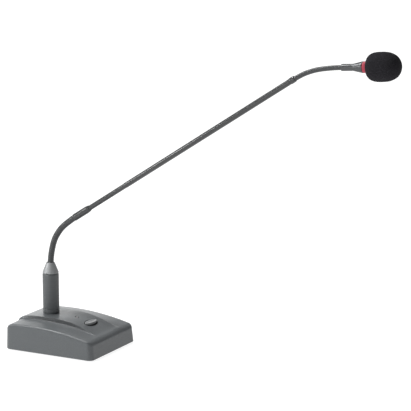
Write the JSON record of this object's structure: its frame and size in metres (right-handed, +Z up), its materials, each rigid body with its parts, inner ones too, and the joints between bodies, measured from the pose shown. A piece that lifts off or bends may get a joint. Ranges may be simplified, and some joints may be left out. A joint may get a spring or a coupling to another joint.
{
  "type": "desktop gooseneck microphone",
  "caption": "Desktop microphone: weighted base with a push button, plug-in neck with two flexible stretches and a rigid tube, lit ring and foam windscreen.",
  "frame": {"origin": "centre of the base's footprint, on the desk, at the middle of the anti-slip pad's underside", "axes": "+Z up; +Y from the user towards the rear of the base, where the neck plugs in, so the neck and head reach forward along -Y; +X across the base"},
  "size_m": [0.1094, 0.5107, 0.3992],
  "materials": {
    "base_shell": "satin",
    "steel_plate": "satin",
    "anti_slip_rubber": "matte",
    "ballast_iron": "matte",
    "zinc_screw": "satin",
    "spring_steel": "satin",
    "circuit_board": "satin",
    "black_plastic": "matte",
    "button_plastic": "satin",
    "smoked_lens": "gloss",
    "gold_contact": "polished",
    "barrel_metal": "satin",
    "cone_metal": "satin",
    "black_steel": "satin",
    "wound_neck": "satin",
    "neck_tube": "gloss",
    "red_lens": "gloss",
    "capsule_metal": "satin",
    "gasket_rubber": "matte",
    "windscreen_foam": "matte"
  },
  "bodies": {
    "base": {"base_housing": "base_shell", "bottom_plate": "steel_plate", "anti_slip_pad": "anti_slip_rubber", "ballast_weight": "ballast_iron", "main_board": "circuit_board", "switch_body": "black_plastic", "button_spring": "spring_steel", "indicator_light": "smoked_lens", "neck_socket": "black_plastic", "output_jack": "black_plastic", "output_jack_nut": "zinc_screw", "bottom_screw_1": "zinc_screw", "bottom_screw_2": "zinc_screw", "bottom_screw_3": "zinc_screw", "bottom_screw_4": "zinc_screw", "board_screw_1": "zinc_screw", "board_screw_2": "zinc_screw", "socket_contact_1": "gold_contact", "socket_contact_2": "gold_contact", "socket_contact_3": "gold_contact"},
    "button": {"push_button": "button_plastic", "switch_plunger": "black_plastic"},
    "plug": {"plug_barrel": "barrel_metal", "barrel_cone": "cone_metal", "plug_insert": "black_plastic", "barrel_screw": "black_steel", "plug_pin_1": "gold_contact", "plug_pin_2": "gold_contact", "plug_pin_3": "gold_contact", "lower_flex_root": "wound_neck"},
    "lower_1": {"lower_flex_link_1": "wound_neck"},
    "lower_2": {"lower_flex_link_2": "wound_neck"},
    "lower_3": {"lower_flex_link_3": "wound_neck"},
    "lower_4": {"lower_flex_link_4": "wound_neck"},
    "lower_5": {"lower_flex_link_5": "wound_neck"},
    "lower_6": {"lower_flex_link_6": "wound_neck"},
    "arm": {"lower_flex_tip": "wound_neck", "lower_sleeve": "neck_tube", "rigid_tube": "neck_tube", "upper_collar": "neck_tube", "upper_flex_root": "wound_neck"},
    "upper_1": {"upper_flex_link_1": "wound_neck"},
    "upper_2": {"upper_flex_link_2": "wound_neck"},
    "upper_3": {"upper_flex_link_3": "wound_neck"},
    "upper_4": {"upper_flex_link_4": "wound_neck"},
    "head": {"upper_flex_tip": "wound_neck", "head_ferrule": "capsule_metal", "light_ring": "red_lens", "ring_light_board": "circuit_board", "capsule_housing": "capsule_metal", "capsule_gasket": "gasket_rubber", "microphone_capsule": "capsule_metal", "capsule_grille": "capsule_metal"},
    "windscreen": {"foam_windscreen": "windscreen_foam"}
  },
  "joints": [
    {"name": "button_press", "type": "slide", "parent": "base", "child": "button", "axis": [0, 0, -1], "range_m": [0, 0.0015], "stiffness_N_per_m": 400, "springref_m": -0.003, "deforming": ["button_spring"]},
    {"name": "neck_unplug", "type": "slide", "parent": "base", "child": "plug", "axis": [0, 0, 1], "range_m": [0, 0.018]},
    {"name": "lower_nod_1", "type": "hinge", "parent": "plug", "child": "lower_1", "pos_m": [0, 0.02802, 0.10998], "axis": [1, 0.001, 0], "range_deg": [-15, 8]},
    {"name": "lower_swing_1", "type": "hinge", "parent": "lower_1", "child": "lower_2", "pos_m": [0, 0.02627, 0.12179], "axis": [0, -0.9782, -0.2075], "range_deg": [-12, 12]},
    {"name": "lower_nod_2", "type": "hinge", "parent": "lower_2", "child": "lower_3", "pos_m": [0, 0.0232, 0.13333], "axis": [1, 0.001, 0], "range_deg": [-15, 8]},
    {"name": "lower_swing_2", "type": "hinge", "parent": "lower_3", "child": "lower_4", "pos_m": [0, 0.01805, 0.14407], "axis": [0, -0.8447, -0.5353], "range_deg": [-12, 12]},
    {"name": "lower_nod_3", "type": "hinge", "parent": "lower_4", "child": "lower_5", "pos_m": [0, 0.01073, 0.15349], "axis": [1, 0.001, 0], "range_deg": [-15, 8]},
    {"name": "lower_swing_3", "type": "hinge", "parent": "lower_5", "child": "lower_6", "pos_m": [0, 0.00174, 0.16133], "axis": [0, -0.606, -0.7955], "range_deg": [-12, 12]},
    {"name": "lower_nod_4", "type": "hinge", "parent": "lower_6", "child": "arm", "pos_m": [0, -0.00797, 0.16828], "axis": [1, 0.001, 0], "range_deg": [-15, 8]},
    {"name": "upper_nod_1", "type": "hinge", "parent": "arm", "child": "upper_1", "pos_m": [0, -0.3161, 0.36418], "axis": [1, 0.001, 0], "range_deg": [-18, 18]},
    {"name": "upper_swing_1", "type": "hinge", "parent": "upper_1", "child": "upper_2", "pos_m": [0, -0.32869, 0.37038], "axis": [0, -0.3645, -0.9312], "range_deg": [-20, 20]},
    {"name": "upper_nod_2", "type": "hinge", "parent": "upper_2", "child": "upper_3", "pos_m": [0, -0.3421, 0.37454], "axis": [1, 0.001, 0], "range_deg": [-18, 18]},
    {"name": "upper_swing_2", "type": "hinge", "parent": "upper_3", "child": "upper_4", "pos_m": [0, -0.35595, 0.3769], "axis": [0, -0.1372, -0.9905], "range_deg": [-20, 20]},
    {"name": "upper_nod_3", "type": "hinge", "parent": "upper_4", "child": "head", "pos_m": [0, -0.36991, 0.37845], "axis": [1, 0.001, 0], "range_deg": [-18, 18]},
    {"name": "windscreen_pull", "type": "slide", "parent": "head", "child": "windscreen", "axis": [0, -0.9978, 0.0663], "range_m": [0, 0.036]}
  ],
  "couplings": [
    {"joint": "lower_nod_2", "follows": "lower_nod_1", "ratio": 1},
    {"joint": "lower_swing_2", "follows": "lower_swing_1", "ratio": 1},
    {"joint": "lower_nod_3", "follows": "lower_nod_1", "ratio": 1},
    {"joint": "lower_swing_3", "follows": "lower_swing_1", "ratio": 1},
    {"joint": "lower_nod_4", "follows": "lower_nod_1", "ratio": 1},
    {"joint": "upper_nod_2", "follows": "upper_nod_1", "ratio": 1},
    {"joint": "upper_swing_2", "follows": "upper_swing_1", "ratio": 1},
    {"joint": "upper_nod_3", "follows": "upper_nod_1", "ratio": 1}
  ]
}
